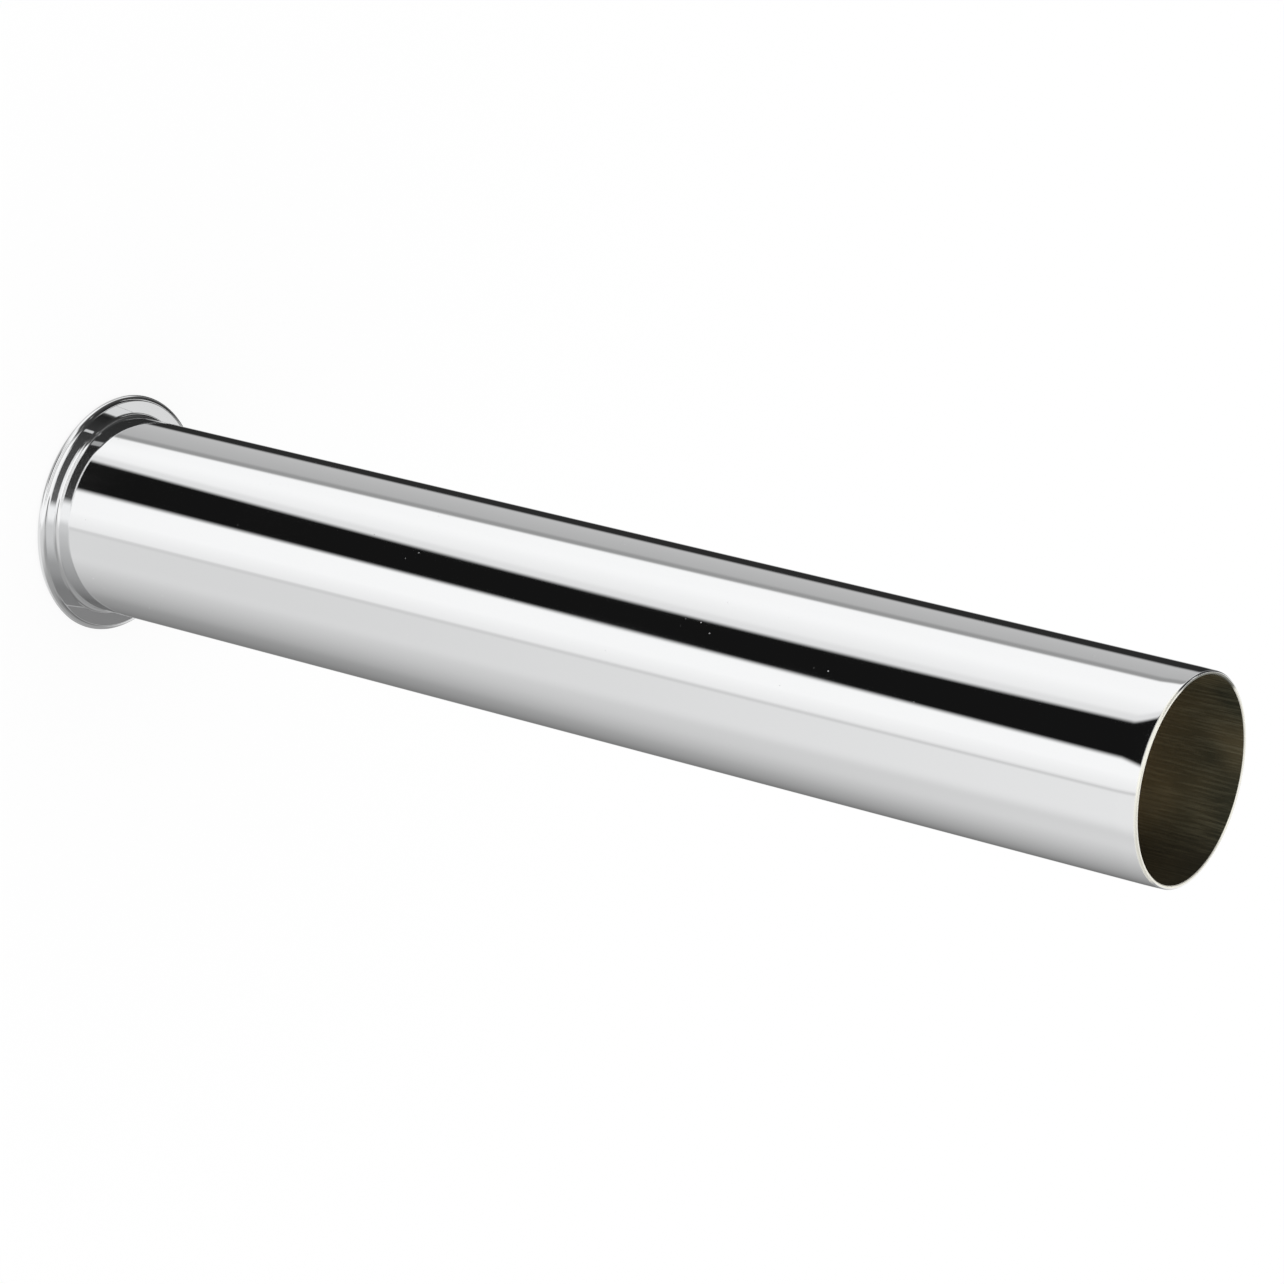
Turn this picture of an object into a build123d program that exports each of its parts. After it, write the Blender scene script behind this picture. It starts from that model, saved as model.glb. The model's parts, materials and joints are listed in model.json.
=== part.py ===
from build123d import *
import math
import os

# Basin waste tail pipe: a straight thin-walled brass tube, drawn, polished and chrome plated.
# One end is folded out and back on itself into a flat double-walled flange, which a union nut
# clamps against the basin waste. The other end is cut square and polished, and slides into the trap.
# Millimetres. The pipe stands on its flange: the origin is at the centre of the flange's seating
# face, and +Z runs along the pipe to the cut end.

# Tube
TUBE_DIAMETER = 32.0
WALL = 0.7
LENGTH = 200.0

# Folded flange. Its width is how far it stands out from the tube
FLANGE_WIDTH = 3.4
HEM_GAP_AT_RIM = 0.2
HEM_GAP_AT_ROOT = 0.06
ROOT_RADIUS = 0.6
SEAM_SETBACK = 0.6

# Cut end
POLISHED_LENGTH = 3.5
POLISHED_DEPTH = 0.08
EDGE_RADIUS = 0.25
DEBURR = 0.12

# Worked out from the sizes above
tube_radius = TUBE_DIAMETER / 2
bore_radius = tube_radius - WALL
fold_radius = WALL + HEM_GAP_AT_RIM / 2
fold_centre = tube_radius + FLANGE_WIDTH - fold_radius
root_centre = tube_radius + ROOT_RADIUS
hem_taper = math.degrees(math.atan2(HEM_GAP_AT_RIM - HEM_GAP_AT_ROOT, fold_centre - root_centre))
taper_sine = math.sin(math.radians(hem_taper))
taper_cosine = math.cos(math.radians(hem_taper))
face_start = fold_centre - fold_radius * taper_sine
face_end = root_centre + ROOT_RADIUS * taper_sine
face_width = (face_start - face_end) / taper_cosine
polished_radius = (POLISHED_LENGTH**2 + POLISHED_DEPTH**2) / (2 * POLISHED_DEPTH)
polished_angle = math.degrees(math.asin(POLISHED_LENGTH / polished_radius))

with BuildPart() as tail_pipe:
    with BuildSketch(Plane.XZ) as section:
        # The outer skin runs out along the seating face, round the fold at the rim, back over the
        # flange's front face and up the tube. The wall is this one strip at an even thickness.
        with BuildLine():
            seating_face = Line((bore_radius + SEAM_SETBACK, 0), (fold_centre, 0))
            rim = JernArc(seating_face @ 1, seating_face % 1, fold_radius, 180 + hem_taper)
            front_face = PolarLine(rim @ 1, face_width, direction=rim % 1)
            root = JernArc(front_face @ 1, front_face % 1, ROOT_RADIUS, -90 - hem_taper)
            Line(root @ 1, (tube_radius, LENGTH))
            offset(amount=WALL, side=Side.LEFT)
        make_face()
        # Polishing has taken the outer skin down in a long shallow curve towards the cut end.
        with BuildLine():
            worn = JernArc((tube_radius, LENGTH - POLISHED_LENGTH), (0, 1), polished_radius, polished_angle)
            Polyline(worn @ 1, (tube_radius, LENGTH), worn @ 0)
        make_face(mode=Mode.SUBTRACT)
        cut_corners = section.vertices().group_by(Axis.Y)[-1].sort_by(Axis.X)
        chamfer(cut_corners[0], DEBURR)
        outer_corner = section.vertices().group_by(Axis.Y)[-1].sort_by(Axis.X)[-1]
        fillet(outer_corner, EDGE_RADIUS)
    revolve(axis=Axis.Z)
tail_pipe.part.label = "tail_pipe"

os.makedirs("parts", exist_ok=True)
export_step(tail_pipe.part, "parts/tail_pipe.step")
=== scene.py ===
import json
import math
import bpy
from mathutils import Matrix, Vector


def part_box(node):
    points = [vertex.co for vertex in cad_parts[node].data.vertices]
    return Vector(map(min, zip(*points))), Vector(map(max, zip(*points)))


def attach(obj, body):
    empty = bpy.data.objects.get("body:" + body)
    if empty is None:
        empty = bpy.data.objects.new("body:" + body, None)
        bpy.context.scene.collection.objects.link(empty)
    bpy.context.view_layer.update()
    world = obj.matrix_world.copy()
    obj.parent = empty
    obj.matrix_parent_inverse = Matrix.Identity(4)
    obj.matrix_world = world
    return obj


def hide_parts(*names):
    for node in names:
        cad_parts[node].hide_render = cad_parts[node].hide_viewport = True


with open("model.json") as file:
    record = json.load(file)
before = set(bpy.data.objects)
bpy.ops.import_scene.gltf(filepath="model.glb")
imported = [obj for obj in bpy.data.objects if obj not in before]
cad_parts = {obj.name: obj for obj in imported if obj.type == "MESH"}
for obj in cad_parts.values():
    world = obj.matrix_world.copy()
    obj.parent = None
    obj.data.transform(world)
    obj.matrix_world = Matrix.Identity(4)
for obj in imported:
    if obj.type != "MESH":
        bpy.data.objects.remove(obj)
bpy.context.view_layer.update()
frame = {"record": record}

# The tail pipe's wall: one drawn brass tube of even thickness. One end is folded out and back on
# itself into a flat hemmed flange, whose inner seam stays open. The other end is cut square, deburred
# inside, rounded outside, and polished down over its last part.
MM = 0.001
HEM_GAP_AT_RIM = 0.2 * MM
HEM_GAP_AT_ROOT = 0.06 * MM
ROOT_RADIUS = 0.6 * MM
SEAM_SETBACK = 0.6 * MM
POLISHED_LENGTH = 3.5 * MM
POLISHED_DEPTH = 0.08 * MM
EDGE_RADIUS = 0.25 * MM
DEBURR = 0.12 * MM

# How finely the section is stepped: degrees on an arc, and distances along a straight stretch
ARC_STEP = 6.0
HIDDEN_ARC_STEP = 18.0
POLISHED_STEPS = 12
RING_SPACING = 4.0 * MM
GUARD_RING = 0.03 * MM
SAME_POINT = 0.00001 * MM

mounts = {mount["name"]: mount for mount in frame["record"]["mounts"]}
tube_radius = mounts["spigot"]["dims"]["r_mm"] * MM
bore_radius = mounts["bore"]["dims"]["r_mm"] * MM
wall = tube_radius - bore_radius
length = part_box("tail_pipe")[1].z
flange_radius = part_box("tail_pipe")[1].x
seam_radius = bore_radius + SEAM_SETBACK
fold_radius = wall + HEM_GAP_AT_RIM / 2
fold_centre = (flange_radius - fold_radius, fold_radius)
root_centre_radius = tube_radius + ROOT_RADIUS
face_run = fold_centre[0] - root_centre_radius
hem_taper = math.atan2(HEM_GAP_AT_RIM - HEM_GAP_AT_ROOT, face_run)
root_rise = (fold_radius + ROOT_RADIUS) / math.cos(hem_taper) - face_run * math.tan(hem_taper)
root_centre = (root_centre_radius, fold_centre[1] + root_rise)
taper = math.degrees(hem_taper)
polished_radius = (POLISHED_LENGTH**2 + POLISHED_DEPTH**2) / (2 * POLISHED_DEPTH)
polished_centre = (tube_radius - polished_radius, length - POLISHED_LENGTH)
edge_rise = POLISHED_LENGTH - EDGE_RADIUS
edge_run = math.sqrt((polished_radius - EDGE_RADIUS)**2 - edge_rise**2)
edge_centre = (polished_centre[0] + edge_run, length - EDGE_RADIUS)
edge_start = math.degrees(math.atan2(edge_rise, edge_run))


def arc(centre, radius, start, end, step=ARC_STEP):
    """Points on an arc about a centre, between two angles in degrees."""
    steps = max(2, math.ceil(abs(end - start) / step))
    angles = [math.radians(start + (end - start) * i / steps) for i in range(steps + 1)]
    return [(centre[0] + radius * math.cos(a), centre[1] + radius * math.sin(a)) for a in angles]


def run(start, end):
    """Points along a straight stretch, with a ring close to each end to keep its shading flat."""
    size = math.dist(start, end)
    steps = max(1, math.ceil(size / RING_SPACING))
    guard = GUARD_RING / size
    shares = [0.0, guard, *(i / steps for i in range(1, steps)), 1 - guard, 1.0]
    return [(start[0] + (end[0] - start[0]) * s, start[1] + (end[1] - start[1]) * s) for s in shares]


rim = arc(fold_centre, fold_radius, -90, 90 + taper)
root = arc(root_centre, ROOT_RADIUS, -90 + taper, -180)
polished = arc(polished_centre, polished_radius, 0, edge_start, edge_start / POLISHED_STEPS)
edge = arc(edge_centre, EDGE_RADIUS, edge_start, 90)
inner_root = arc(root_centre, ROOT_RADIUS + wall, 180, 270 + taper)
inner_fold = arc(fold_centre, fold_radius - wall, 90 + taper, -90, HIDDEN_ARC_STEP)
deburred = [(bore_radius + DEBURR, length), (bore_radius, length - DEBURR)]
seam = [(seam_radius, wall), (seam_radius, 0)]
plated_skin = [*run(seam[1], rim[0]), *rim, *run(rim[-1], root[0]), *root,
               *run(root[-1], polished[0]), *polished, *edge]
cut_face = [*run(edge[-1], deburred[0]), *deburred]
bore_skin = [*run(deburred[-1], inner_root[0]), *inner_root, *run(inner_root[-1], inner_fold[0]),
             *inner_fold, *run(inner_fold[-1], seam[0]), *run(*seam)]
PLATED, CUT, BORE = 0.0, 1.0, 2.0
section_points = []
point_finish = []
for finish, stretch in ((PLATED, plated_skin), (CUT, cut_face), (BORE, bore_skin)):
    for point in stretch:
        if not section_points or math.dist(point, section_points[-1]) > SAME_POINT:
            section_points.append(point)
            point_finish.append(finish)
# The last point closes the section on its first
section_points.pop()
point_finish.pop()

# The tail pipe's finishes: outside it is polished to a mirror and chrome plated, and the last of its
# edge is worn through to brass, with a painted highlight over the wear. The cut face is bare bright brass
# with turning marks and a painted dark reflection on one stretch, and the bore is dull drawn brass, with
# the lines of the die along it, darker towards the mouth and with painted shade on one side.


def add(tree, kind, inputs=None, **settings):
    """A node with its settings made, and its inputs set, or linked where a socket is given."""
    node = tree.nodes.new(kind)
    for name, value in settings.items():
        setattr(node, name, value)
    for key, value in (inputs or {}).items():
        if isinstance(value, bpy.types.NodeSocket):
            tree.links.new(value, node.inputs[key])
        else:
            node.inputs[key].default_value = value
    return node


def calculate(tree, operation, *values):
    """A math node on sockets or numbers. Returns its result."""
    return add(tree, "ShaderNodeMath", dict(enumerate(values)), operation=operation).outputs[0]


def rescale(tree, value, low, high, to_low, to_high, shape="LINEAR"):
    """A value carried from one range to another, and held at its ends."""
    inputs = {"Value": value, "From Min": low, "From Max": high, "To Min": to_low, "To Max": to_high}
    return add(tree, "ShaderNodeMapRange", inputs, interpolation_type=shape).outputs["Result"]


def mix_colours(tree, factor, first, second):
    """A colour between two others. The Mix node's colours are its sockets 6 and 7, and its output 2."""
    return add(tree, "ShaderNodeMix", {0: factor, 6: first, 7: second}, data_type="RGBA").outputs[2]


def new_group(name, inputs, outputs):
    """An empty shader node group with named number inputs and outputs."""
    group = bpy.data.node_groups.new(name, "ShaderNodeTree")
    for label in inputs:
        group.interface.new_socket(label, in_out="INPUT", socket_type="NodeSocketFloat")
    for label in outputs:
        group.interface.new_socket(label, in_out="OUTPUT", socket_type="NodeSocketFloat")
    return group, group.nodes.new("NodeGroupInput").outputs, group.nodes.new("NodeGroupOutput").inputs


def new_material(name):
    """A material, its node tree and its surface shader."""
    material = bpy.data.materials.new(name)
    material.use_nodes = True
    return material, material.node_tree, material.node_tree.nodes["Principled BSDF"]


def emboss(tree, surface, relief):
    """Gives a surface a relief, in metres."""
    bump = add(tree, "ShaderNodeBump", {"Height": relief, "Distance": 1})
    tree.links.new(bump.outputs[0], surface.inputs["Normal"])


# Marks that the finishes share: lines left by the die along the tube, slow patches, and two stretches
# of the cut end, one rubbed through to brass with a painted highlight over it, and one with a painted
# dark reflection. A stretch lies towards a direction, and fades in between two shares of the tube's
# radius along it. The frequencies are per metre.
LINE_DETAIL = 3
LINE_SPREAD = (0.32, 0.68)
PATCH_DETAIL = 2
PATCH_SPREAD = (0.35, 0.65)
STRETCHES = {
    # Rubbed through to brass, with a painted highlight over it
    "Rubbed And Highlight": {"towards": (0.242, -0.970, 0), "reach": (0.44, 0.53)},
    # Painted dark reflection: the stretch of the cut face that is darkened
    "Painted Dark Reflection": {"towards": (-0.990, -0.139, 0), "reach": (0.80, 0.86)},
}
marks, given, made = new_group("tube_marks_and_painted_light", ["Across", "Along", "Patch"],
                               ["Streaks", "Patches", "Rubbed And Highlight", "Painted Dark Reflection"])
place = add(marks, "ShaderNodeTexCoord").outputs["Object"]
squeeze = add(marks, "ShaderNodeCombineXYZ",
              {"X": given["Across"], "Y": given["Across"], "Z": given["Along"]}).outputs[0]
drawn_out = add(marks, "ShaderNodeVectorMath", {0: place, 1: squeeze}, operation="MULTIPLY").outputs[0]
lines = add(marks, "ShaderNodeTexNoise", {"Vector": drawn_out, "Scale": 1, "Detail": LINE_DETAIL})
patches = add(marks, "ShaderNodeTexNoise",
              {"Vector": place, "Scale": given["Patch"], "Detail": PATCH_DETAIL})
marks.links.new(rescale(marks, lines.outputs[0], *LINE_SPREAD, 0, 1), made["Streaks"])
marks.links.new(rescale(marks, patches.outputs[0], *PATCH_SPREAD, 0, 1), made["Patches"])
for label, stretch in STRETCHES.items():
    facing = add(marks, "ShaderNodeVectorMath", {0: place, 1: stretch["towards"]},
                 operation="DOT_PRODUCT").outputs["Value"]
    share = calculate(marks, "DIVIDE", facing, tube_radius)
    marks.links.new(rescale(marks, share, *stretch["reach"], 0, 1, "SMOOTHSTEP"), made[label])

# Chrome
CHROME = (0.92, 0.925, 0.93, 1)
CHROME_MARKS = {"Across": 900, "Along": 25, "Patch": 45}
# The worn edge's brass, and the painted highlight that its near-white colour and lowered metallic give it
WORN_BRASS_AND_HIGHLIGHT = (0.98, 0.962, 0.865, 1)
WORN_AND_HIGHLIGHT_DEPTH = 0.50 * MM
FULL_WEAR_AND_HIGHLIGHT_DEPTH = WORN_AND_HIGHLIGHT_DEPTH / 3
WORN_AND_HIGHLIGHT_ROUGHNESS = 0.15
WORN_AND_HIGHLIGHT_METALLIC = 0.45
SPECK_FREQUENCY = 800
SPECK_SIZE = 0.085
SPECK_RARITY = 0.90
SPECK_ROUGHNESS = 0.4
SPECK_HEIGHT = 0.01 * MM
PATCH_HAZE = (0.015, 0.05)
LINE_HAZE = (0, 0.015)
CHROME_WAVE = 0.0006 * MM
CHROME_GRAIN = 0.00004 * MM
chrome, tree, surface = new_material("polished_chrome")
chrome_marks = add(tree, "ShaderNodeGroup", CHROME_MARKS, node_tree=marks).outputs
place = add(tree, "ShaderNodeTexCoord").outputs["Object"]
height = add(tree, "ShaderNodeSeparateXYZ", {0: place}).outputs["Z"]
# One stretch of the edge near the cut is worn through to brass, and its near-white colour and lowered
# metallic also paint a highlight there
close_to_cut = rescale(tree, height, length - WORN_AND_HIGHLIGHT_DEPTH, length - FULL_WEAR_AND_HIGHLIGHT_DEPTH, 0, 1, "SMOOTHSTEP")
worn_and_highlight = calculate(tree, "MULTIPLY", close_to_cut, chrome_marks["Rubbed And Highlight"])
tree.links.new(rescale(tree, worn_and_highlight, 0, 1, 1, WORN_AND_HIGHLIGHT_METALLIC), surface.inputs["Metallic"])
tree.links.new(mix_colours(tree, worn_and_highlight, CHROME, WORN_BRASS_AND_HIGHLIGHT), surface.inputs["Base Color"])
cells = add(tree, "ShaderNodeTexVoronoi", {"Vector": place, "Scale": SPECK_FREQUENCY}).outputs
chance = add(tree, "ShaderNodeSeparateXYZ", {0: cells["Color"]}).outputs["X"]
chosen = calculate(tree, "GREATER_THAN", chance, SPECK_RARITY)
speck = rescale(tree, cells["Distance"], SPECK_SIZE / 2, SPECK_SIZE, 1, 0)
speck = calculate(tree, "MULTIPLY", speck, chosen)
speck = calculate(tree, "MULTIPLY", speck, chrome_marks["Patches"])
haze = rescale(tree, chrome_marks["Patches"], 0, 1, *PATCH_HAZE)
haze = calculate(tree, "ADD", haze, rescale(tree, chrome_marks["Streaks"], 0, 1, *LINE_HAZE))
haze = calculate(tree, "MULTIPLY_ADD", worn_and_highlight, WORN_AND_HIGHLIGHT_ROUGHNESS, haze)
haze = calculate(tree, "MULTIPLY_ADD", speck, SPECK_ROUGHNESS, haze)
tree.links.new(haze, surface.inputs["Roughness"])
relief = calculate(tree, "MULTIPLY", chrome_marks["Patches"], CHROME_WAVE)
relief = calculate(tree, "MULTIPLY_ADD", chrome_marks["Streaks"], CHROME_GRAIN, relief)
relief = calculate(tree, "MULTIPLY_ADD", speck, SPECK_HEIGHT, relief)
emboss(tree, surface, relief)

# Cut face
CUT_MARKS = {"Across": 700, "Along": 700, "Patch": 150}
CUT_BRASS = (0.93, 0.90, 0.78, 1)
BRIGHT_BRASS = (0.98, 0.96, 0.89, 1)
# The colour of a painted dark reflection on one stretch of the cut face
PAINTED_DARK_REFLECTION = (0.22, 0.22, 0.19, 1)
CUT_METALLIC = 0.5
ACROSS_THE_FACE = (1, 1, 0)
TURNING_PITCH = 0.08 * MM
TURNING_DETAIL = 2
TURNING_SPREAD = (0.3, 0.7)
TURNING_TONE = 0.6
TURNING_DEPTH = 0.001 * MM
PATCH_TONE = 0.4
CUT_ROUGHNESS = (0.15, 0.30)
cut_brass, tree, surface = new_material("cut_brass")
cut_marks = add(tree, "ShaderNodeGroup", CUT_MARKS, node_tree=marks).outputs
place = add(tree, "ShaderNodeTexCoord").outputs["Object"]
flat = add(tree, "ShaderNodeVectorMath", {0: place, 1: ACROSS_THE_FACE}, operation="MULTIPLY").outputs[0]
radius = add(tree, "ShaderNodeVectorMath", {0: flat}, operation="LENGTH").outputs["Value"]
turns = calculate(tree, "DIVIDE", radius, TURNING_PITCH)
turning = add(tree, "ShaderNodeTexNoise", {"W": turns, "Detail": TURNING_DETAIL},
              noise_dimensions="1D").outputs[0]
patch_tone = calculate(tree, "MULTIPLY", cut_marks["Patches"], PATCH_TONE)
tone = calculate(tree, "MULTIPLY_ADD", turning, TURNING_TONE, patch_tone)
turned_brass = mix_colours(tree, tone, CUT_BRASS, BRIGHT_BRASS)
# Painted dark reflection: on one stretch the cut face is made a dark mirror
brass = mix_colours(tree, cut_marks["Painted Dark Reflection"], turned_brass, PAINTED_DARK_REFLECTION)
tree.links.new(brass, surface.inputs["Base Color"])
tree.links.new(rescale(tree, cut_marks["Painted Dark Reflection"], 0, 1, CUT_METALLIC, 1), surface.inputs["Metallic"])
tree.links.new(rescale(tree, turning, *TURNING_SPREAD, *CUT_ROUGHNESS), surface.inputs["Roughness"])
emboss(tree, surface, calculate(tree, "MULTIPLY", turning, TURNING_DEPTH))

# Bore. Towards the mouth the brass is darker, and painted shade darkens one side of it
BORE_MARKS = {"Across": 2600, "Along": 160, "Patch": 60}
DRAWN_BRASS = (0.59, 0.45, 0.235, 1)
DRAWN_LINE = (0.80, 0.65, 0.38, 1)
MOUTH_BRASS = (0.095, 0.094, 0.06, 1)
MOUTH_LINE = (0.27, 0.262, 0.175, 1)
# The colour of the painted shade on one side of the bore
PAINTED_SHADE_BRASS = (0.05, 0.045, 0.033, 1)
BORE_METALLIC = 0.75
BORE_ROUGHNESS = (0.6, 0.42)
MOUTH_DARKENING_START = 18 * MM
DARKENING_AT_MOUTH = 0.75
PATCH_DARKENING = 0.4
LINE_START = 0.35
PAINTED_SHADE_SIDE = (0.2 * bore_radius, 0.85 * bore_radius)
PAINTED_SHADE_SHARE = 0.75
DIE_LINE_HEIGHT = 0.004 * MM
bore_brass, tree, surface = new_material("bore_brass")
surface.inputs["Metallic"].default_value = BORE_METALLIC
bore_marks = add(tree, "ShaderNodeGroup", BORE_MARKS, node_tree=marks).outputs
place = add(tree, "ShaderNodeTexCoord").outputs["Object"]
axes = add(tree, "ShaderNodeSeparateXYZ", {0: place}).outputs
# The brass is darker towards the mouth, and in patches
mouth_darkening = rescale(tree, axes["Z"], length - MOUTH_DARKENING_START, length, 0, DARKENING_AT_MOUTH)
mouth_darkening = calculate(tree, "MULTIPLY_ADD", bore_marks["Patches"], PATCH_DARKENING, mouth_darkening)
ground = mix_colours(tree, mouth_darkening, DRAWN_BRASS, MOUTH_BRASS)
line = mix_colours(tree, mouth_darkening, DRAWN_LINE, MOUTH_LINE)
brass = mix_colours(tree, rescale(tree, bore_marks["Streaks"], LINE_START, 1, 0, 1), ground, line)
# Painted shade: the bore darkens towards one side
painted_shade = rescale(tree, axes["X"], *PAINTED_SHADE_SIDE, 0, PAINTED_SHADE_SHARE, "SMOOTHSTEP")
tree.links.new(mix_colours(tree, painted_shade, brass, PAINTED_SHADE_BRASS), surface.inputs["Base Color"])
tree.links.new(rescale(tree, bore_marks["Streaks"], 0, 1, *BORE_ROUGHNESS), surface.inputs["Roughness"])
emboss(tree, surface, calculate(tree, "MULTIPLY", bore_marks["Streaks"], DIE_LINE_HEIGHT))

# The tail pipe's body: the wall's section is carried once round the axis, as the tube and its flange
# are round all the way. Each stretch of the skin takes the finish that it has on the real pipe.
STEPS_AROUND = 256
SHARP_ANGLE = math.radians(25)
section = bpy.data.meshes.new("wall_section")
count = len(section_points)
section.from_pydata([(r - tube_radius, -z, 0) for r, z in reversed(section_points)],
                    [(i, (i + 1) % count) for i in range(count)], [])
finish_layer = section.attributes.new("finish", "FLOAT", "POINT")
finish_layer.data.foreach_set("value", point_finish[::-1])
section_wire = bpy.data.objects.new("wall_section", section)
bpy.context.scene.collection.objects.link(section_wire)

tree = bpy.data.node_groups.new("revolved_wall", "GeometryNodeTree")
for label, kind in (("Wall Section", "Geometry"), ("Tube Radius", "Float"), ("Steps Around", "Int"),
                    ("Sharp Angle", "Float"), ("Plated Finish", "Material"), ("Cut Finish", "Material"),
                    ("Bore Finish", "Material")):
    tree.interface.new_socket(label, in_out="INPUT", socket_type="NodeSocket" + kind)
tree.interface.new_socket("Pipe", in_out="OUTPUT", socket_type="NodeSocketGeometry")
given = tree.nodes.new("NodeGroupInput").outputs
made = tree.nodes.new("NodeGroupOutput").inputs
wire = add(tree, "GeometryNodeMeshToCurve", {"Mesh": given["Wall Section"]})
path = add(tree, "GeometryNodeCurvePrimitiveCircle",
           {"Resolution": given["Steps Around"], "Radius": given["Tube Radius"]})
revolve = add(tree, "GeometryNodeCurveToMesh",
              {"Curve": path.outputs["Curve"], "Profile Curve": wire.outputs["Curve"]})
smooth = add(tree, "GeometryNodeSetShadeSmooth", {"Geometry": revolve.outputs["Mesh"]}).outputs[0]
angle = add(tree, "GeometryNodeInputMeshEdgeAngle").outputs["Unsigned Angle"]
sharp = add(tree, "FunctionNodeCompare", {0: angle, 1: given["Sharp Angle"]}, operation="GREATER_THAN")
crease = add(tree, "GeometryNodeSetShadeSmooth",
             {"Geometry": smooth, "Selection": sharp.outputs[0], "Shade Smooth": False}, domain="EDGE")
shape = add(tree, "GeometryNodeRealizeInstances", {"Geometry": crease.outputs[0]})

# A face's finish is the mean of its corners', and a face between two finishes takes the later one
CHANGE = 0.25
finish_value = add(tree, "GeometryNodeInputNamedAttribute", {"Name": "finish"}).outputs["Attribute"]
for label, least in (("Plated Finish", PLATED - CHANGE), ("Cut Finish", PLATED + CHANGE),
                     ("Bore Finish", CUT + CHANGE)):
    chosen = add(tree, "FunctionNodeCompare", {0: finish_value, 1: least}, operation="GREATER_THAN")
    shape = add(tree, "GeometryNodeSetMaterial",
                {"Geometry": shape.outputs[0], "Selection": chosen.outputs[0], "Material": given[label]})
tree.links.new(shape.outputs[0], made["Pipe"])

modifier = section_wire.modifiers.new("revolve", "NODES")
modifier.node_group = tree
settings = {"Tube Radius": tube_radius, "Steps Around": STEPS_AROUND, "Sharp Angle": SHARP_ANGLE,
            "Plated Finish": chrome, "Cut Finish": cut_brass, "Bore Finish": bore_brass}
for item in tree.interface.items_tree:
    if item.in_out == "INPUT" and item.name in settings:
        modifier[item.identifier] = settings[item.name]
depsgraph = bpy.context.evaluated_depsgraph_get()
pipe_mesh = bpy.data.meshes.new_from_object(section_wire.evaluated_get(depsgraph))
bpy.data.objects.remove(section_wire)
tail_pipe = bpy.data.objects.new("tail_pipe_finished", pipe_mesh)
bpy.context.scene.collection.objects.link(tail_pipe)
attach(tail_pipe, "root")
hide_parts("tail_pipe")

# The floor: a plain white table top, large enough to fill the view. It keeps the pipe's soft shadow,
# but the camera sees most of it as plain white. The chrome doesn't mirror it, because the studio's
# cards stand between the pipe and the table.
FLOOR_HALF = 4.0
FLOOR_COLOUR = (0.95, 0.95, 0.95, 1)
FLOOR_ROUGHNESS = 0.9
CAMERA_COLOUR = (1, 1, 1, 1)
CAMERA_WHITE = 1.01
CAMERA_SHARE = 0.85
floor_mesh = bpy.data.meshes.new("floor")
floor_mesh.from_pydata([(-FLOOR_HALF, -FLOOR_HALF, 0), (FLOOR_HALF, -FLOOR_HALF, 0),
                        (FLOOR_HALF, FLOOR_HALF, 0), (-FLOOR_HALF, FLOOR_HALF, 0)], [], [(0, 1, 2, 3)])
floor = bpy.data.objects.new("floor", floor_mesh)
bpy.context.scene.collection.objects.link(floor)
floor_paint, tree, surface = new_material("floor_paint")
surface.inputs["Base Color"].default_value = FLOOR_COLOUR
surface.inputs["Roughness"].default_value = FLOOR_ROUGHNESS
surface.inputs["Specular IOR Level"].default_value = 0
seen = add(tree, "ShaderNodeLightPath").outputs["Is Camera Ray"]
whitened = calculate(tree, "MULTIPLY", seen, CAMERA_SHARE)
plain_white = add(tree, "ShaderNodeEmission", {"Color": CAMERA_COLOUR, "Strength": CAMERA_WHITE})
top = add(tree, "ShaderNodeMixShader", {0: whitened, 1: surface.outputs[0], 2: plain_white.outputs[0]})
tree.links.new(top.outputs[0], tree.nodes["Material Output"].inputs["Surface"])
floor_mesh.materials.append(floor_paint)
floor.visible_glossy = False

# The light: a white studio all round, and cards that stand about the pipe for its chrome to mirror. A
# card is a patch of the surroundings between two azimuths and two elevations, in degrees. Azimuth 0 is
# towards the camera, and positive is to the +X side.
WHITE = 1.0
SCREEN_WHITE = 255
SCREEN_OFFSET = 0.055
SCREEN_POWER = 2.4
# A leaning edge stands at its azimuth at the middle elevation, and stays upright past the other two
LEAN_MIDDLE = -32.0
LEAN_LOWEST = -43.0
LEAN_HIGHEST = -19.0
SIDE_NAMES = ("Left Start", "Left End", "Right Start", "Right End")
END_NAMES = ("Bottom Start", "Bottom End", "Top Start", "Top End")

world = bpy.data.worlds.new("studio")
bpy.context.scene.world = world
world.use_nodes = True
studio = world.node_tree
studio.nodes.clear()

card, given, made = new_group("card", ["Left Azimuth", "Right Azimuth", "Elevation",
                                       *SIDE_NAMES, *END_NAMES], ["Mask"])
mask = 1
for name, measure, outside, inside in (("Left", "Left Azimuth", 0, 1), ("Right", "Right Azimuth", 1, 0),
                                       ("Bottom", "Elevation", 0, 1), ("Top", "Elevation", 1, 0)):
    fade = (given[name + " Start"], given[name + " End"])
    edge_mask = rescale(card, given[measure], *fade, outside, inside, "SMOOTHSTEP")
    mask = calculate(card, "MULTIPLY", edge_mask, mask)
card.links.new(mask, made["Mask"])

direction = add(studio, "ShaderNodeTexCoord").outputs["Generated"]
split = add(studio, "ShaderNodeSeparateXYZ", {0: direction}).outputs
azimuth = calculate(studio, "ARCTAN2", split["X"], calculate(studio, "MULTIPLY", split["Y"], -1))
azimuth = calculate(studio, "DEGREES", azimuth)
height = calculate(studio, "DEGREES", calculate(studio, "ARCSINE", split["Z"]))
lean = calculate(studio, "MINIMUM", height, LEAN_HIGHEST)
lean = calculate(studio, "MAXIMUM", lean, LEAN_LOWEST)
lean = calculate(studio, "SUBTRACT", lean, LEAN_MIDDLE)


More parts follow.
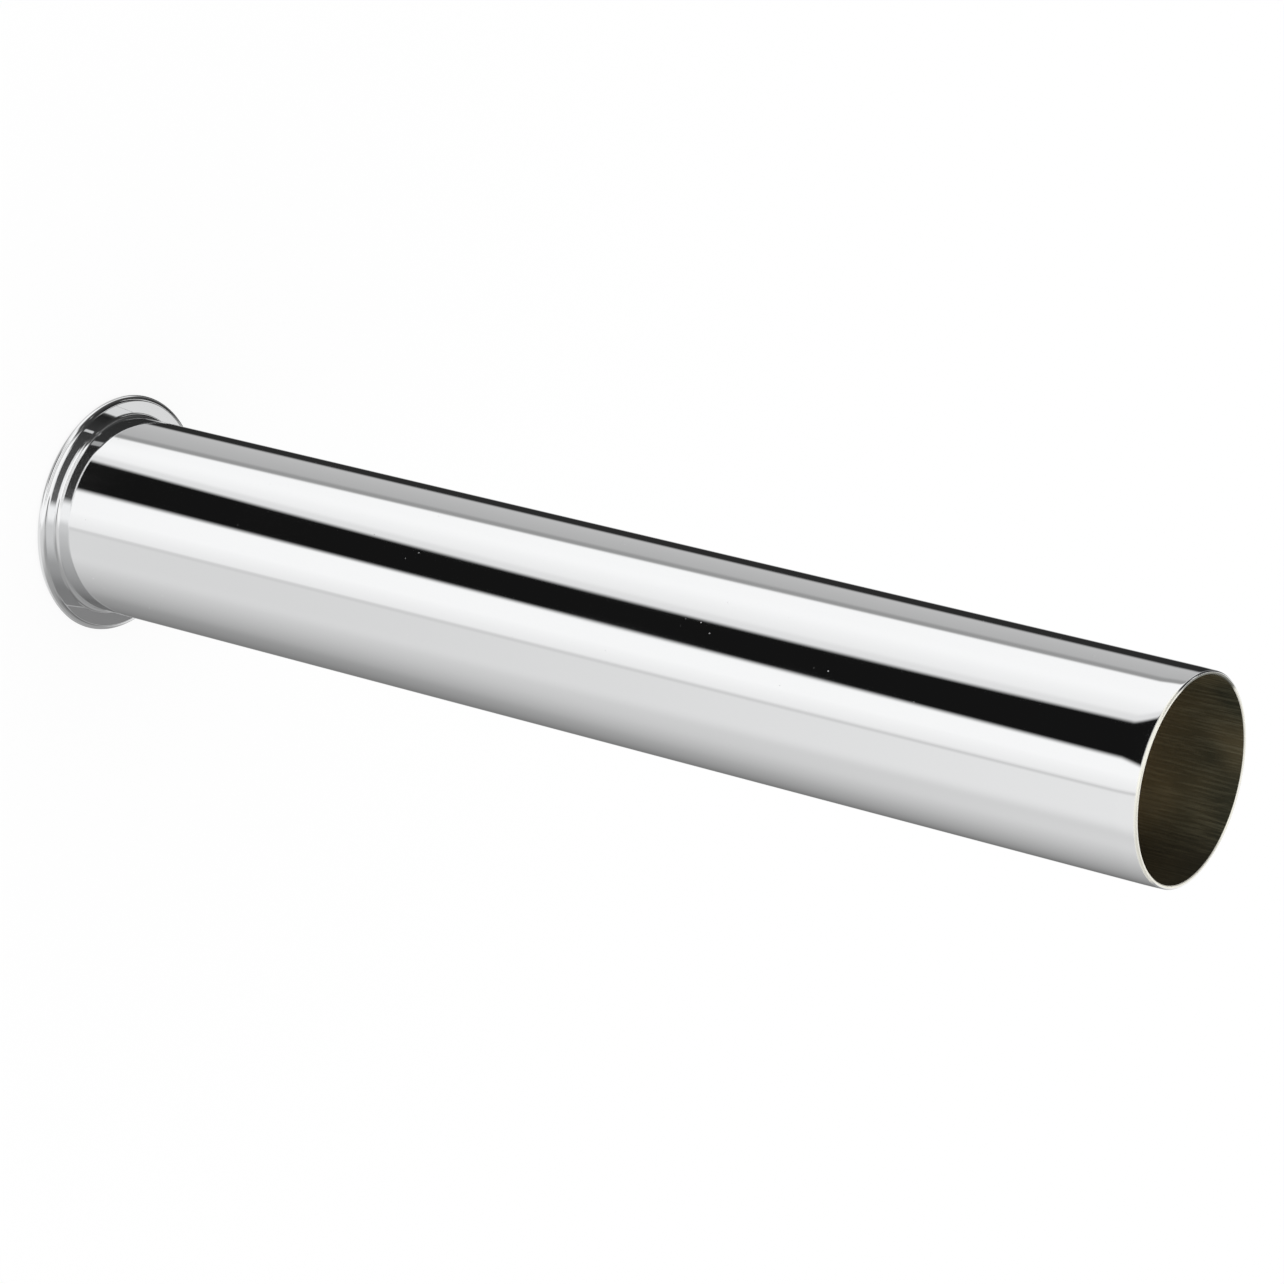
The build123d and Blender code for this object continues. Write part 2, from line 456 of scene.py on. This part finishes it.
def leaning(slope, bow=0.0):
    """The azimuth as a card's edge measures it when the edge leans, and bows, along the tube."""
    if not slope and not bow:
        return azimuth
    bent = calculate(studio, "MULTIPLY_ADD", lean, -bow, -slope)
    return calculate(studio, "MULTIPLY_ADD", lean, bent, azimuth)


def light_of(grey):
    """The light that the chrome mirrors as a grey level of up to 255 on the screen."""
    share = (grey / SCREEN_WHITE + SCREEN_OFFSET) / (1 + SCREEN_OFFSET)
    return share**SCREEN_POWER / CHROME[0]


def hang(behind, name, greys, sides, ends, left_lean=0.0, left_bow=0.0, right_lean=0.0):
    """A card in front of what hangs behind it. Its grey level runs from its left to its right. Its
    sides and ends are the azimuths and elevations where each edge's fade starts and ends."""
    hung = add(studio, "ShaderNodeGroup",
               {"Left Azimuth": leaning(left_lean, left_bow), "Right Azimuth": leaning(right_lean),
                "Elevation": height, **dict(zip(SIDE_NAMES, sides)), **dict(zip(END_NAMES, ends))},
               node_tree=card, label=name)
    left_light, right_light = (light_of(grey) for grey in greys)
    shade = left_light
    if left_light != right_light:
        shade = rescale(studio, azimuth, sides[0], sides[-1], left_light, right_light)
    return add(studio, "ShaderNodeMix", {0: hung.outputs["Mask"], 2: behind, 3: shade}).outputs[0]


# Below: the white table that the rim and the root look down on
light = hang(WHITE, "table left", (212, 212), (-200, -199, -90, -80), (-92, -91, -42, -38))
light = hang(light, "table middle", (135, 175), (-90, -80, 8, 22), (-92, -91, -54, -38))
light = hang(light, "table near", (175, 165), (-90, -80, 4, 22), (-92, -91, -68, -60))
light = hang(light, "table right", (224, 219), (24, 30, 199, 200), (-92, -91, -46, -40))
# Beside and above, to the right: what the flange's rim, face and root look up to
light = hang(light, "side wall", (210, 160), (22, 34, 199, 200), (-24, -18, 91, 92))
light = hang(light, "side wall far", (155, 148), (48, 84, 199, 200), (-16, -6, 66, 76))
light = hang(light, "side wall face", (124, 124), (82, 120, 199, 200), (29.5, 31.5, 37, 39))
light = hang(light, "side wall end", (108, 114), (140, 150, 199, 200), (35.5, 38, 46.5, 48.5))
light = hang(light, "side wall band", (202, 96), (34, 46, 145, 152), (39.5, 41, 46.5, 48.5))
light = hang(light, "zenith", (120, 120), (0, 20, 110, 130), (74, 79, 91, 92))
# Beside and above, to the left and behind
light = hang(light, "left wall", (48, 80), (-170, -158, -68, -60), (-12, 4, 50, 54))
light = hang(light, "left wall foot", (110, 110), (-172, -162, -134, -124), (-24, -16, -4, 4))
light = hang(light, "left wall end", (45, 45), (-172.5, -170, -162, -156), (20, 24, 33.4, 34.4))
light = hang(light, "left wall above", (55, 70), (-172, -164, -93, -73), (48, 52, 60, 66))
light = hang(light, "left wall top", (42, 50), (-172, -164, -78, -74), (37.6, 38.8, 50, 54))
light = hang(light, "back dark", (45, 45), (-200, -199, -172, -164), (34, 36, 40.5, 42))
light = hang(light, "band gap", (160, 160), (-86, -84, -79, -77), (43, 44, 47.5, 48.5))
light = hang(light, "shelf", (36, 60), (-78, -75, -4, 8), (44.4, 45.4, 48, 49))
light = hang(light, "shelf below", (28, 90), (-128, -122, 3, 14), (29.5, 31, 35.4, 36.8))
light = hang(light, "face gap", (200, 200), (-90.5, -89.5, -86.5, -85.5), (29.5, 31, 35.4, 36.8))
light = hang(light, "back light low", (218, 218), (-200, -199, -134, -128), (33.4, 34.3, 36.6, 37.4))
light = hang(light, "back grey", (127, 127), (-177.6, -176.9, -174.4, -173.6), (32, 33.4, 42, 44))
light = hang(light, "back light", (212, 218), (173.2, 174.2, 177.4, 178.4), (33, 35, 44, 46))
light = hang(light, "horizon line", (70, 70), (-54, -44, 2, 16), (3, 5, 10, 12))
light = hang(light, "back window left", (246, 236), (-200, -199, -175, -166), (-27, -21, 24, 28))
light = hang(light, "back window right", (236, 246), (152, 168, 199, 200), (-27, -21, 27, 30))
# Level with the tube: the band of elevations that the tube mirrors, and the upper part of it, which it
# mirrors towards its cut end
BAND = (-42, -39.5, -20, -14)
UPPER_BAND = (-38, -25, -20, -14)
light = hang(light, "bank edge", (246, 227), (10, 14, 30, 34), BAND)
light = hang(light, "side near", (212, 212), (27, 29, 80, 90), BAND, left_lean=-0.25)
light = hang(light, "side near bright", (227, 227), (27, 29, 80, 90), UPPER_BAND, left_lean=-0.25)
light = hang(light, "side end", (130, 130), (130, 160, 199, 200), BAND)
light = hang(light, "side far", (220, 68), (58, 78, 150, 166), BAND)
light = hang(light, "side far end", (157, 108), (112, 130, 158, 172), BAND)
light = hang(light, "side far bright", (230, 60), (70, 95, 170, 182), UPPER_BAND)
light = hang(light, "back edge", (210, 210), (164, 184, 199, 200), BAND)
light = hang(light, "seam", (204, 204), (28.4, 30.2, 30.6, 33.4), BAND, left_lean=-0.28, right_lean=-0.28)
light = hang(light, "bank fall", (252, 214), (-84, -64, -22, -20), BAND)
light = hang(light, "flag shade", (222, 222), (-52, -46, -14, -10), BAND, left_lean=0.3, left_bow=-0.187)
light = hang(light, "grey wall", (203, 171), (-200, -199, -101.5, -96), BAND, right_lean=-0.7)
light = hang(light, "grey wall edge", (148, 148), (-109, -103, -101.5, -97.5), BAND,
             left_lean=-0.7, right_lean=-0.7)
light = hang(light, "dark wall", (41, 41), (-174, -164, -143, -135.5), BAND)
light = hang(light, "black flag", (19, 19), (-43.5, -38, -11.8, -6.0), (-42, -39.5, -21.5, -20),
             left_lean=0.3, left_bow=-0.187, right_lean=0.78)

# Only glossy rays meet the cards, so the rest of the light stays even and white
mirrored = add(studio, "ShaderNodeLightPath").outputs["Is Glossy Ray"]
plain_studio = add(studio, "ShaderNodeBackground", {"Color": (WHITE, WHITE, WHITE, 1)}).outputs[0]
hung_studio = add(studio, "ShaderNodeBackground", {"Color": light}).outputs[0]
surroundings = add(studio, "ShaderNodeMixShader", {0: mirrored, 1: plain_studio, 2: hung_studio})
add(studio, "ShaderNodeOutputWorld", {"Surface": surroundings.outputs[0]})

# The camera: it looks across the standing pipe from the side of its cut end and is turned on its side,
# so that the pipe lies across the picture with its flange at the left.
CAMERA_ELEVATION = math.radians(32.523)
CAMERA_ROLL = math.radians(104.016)
CAMERA_DISTANCE = 754.2 * MM
AIM_POINT = Vector((-0.158, 0, 104.89)) * MM
FOCAL_LENGTH = 139.44
SENSOR_WIDTH = 36
back = Vector((0, -math.cos(CAMERA_ELEVATION), math.sin(CAMERA_ELEVATION)))
camera_data = bpy.data.cameras.new("camera")
camera_data.lens = FOCAL_LENGTH
camera_data.sensor_width = SENSOR_WIDTH
camera = bpy.data.objects.new("camera", camera_data)
bpy.context.scene.collection.objects.link(camera)
upright = back.to_track_quat("Z", "Y").to_matrix().to_4x4()
rolled = upright @ Matrix.Rotation(CAMERA_ROLL, 4, "Z")
camera.matrix_world = Matrix.Translation(AIM_POINT + back * CAMERA_DISTANCE) @ rolled
bpy.context.scene.camera = camera
bpy.context.scene.view_settings.view_transform = "Standard"
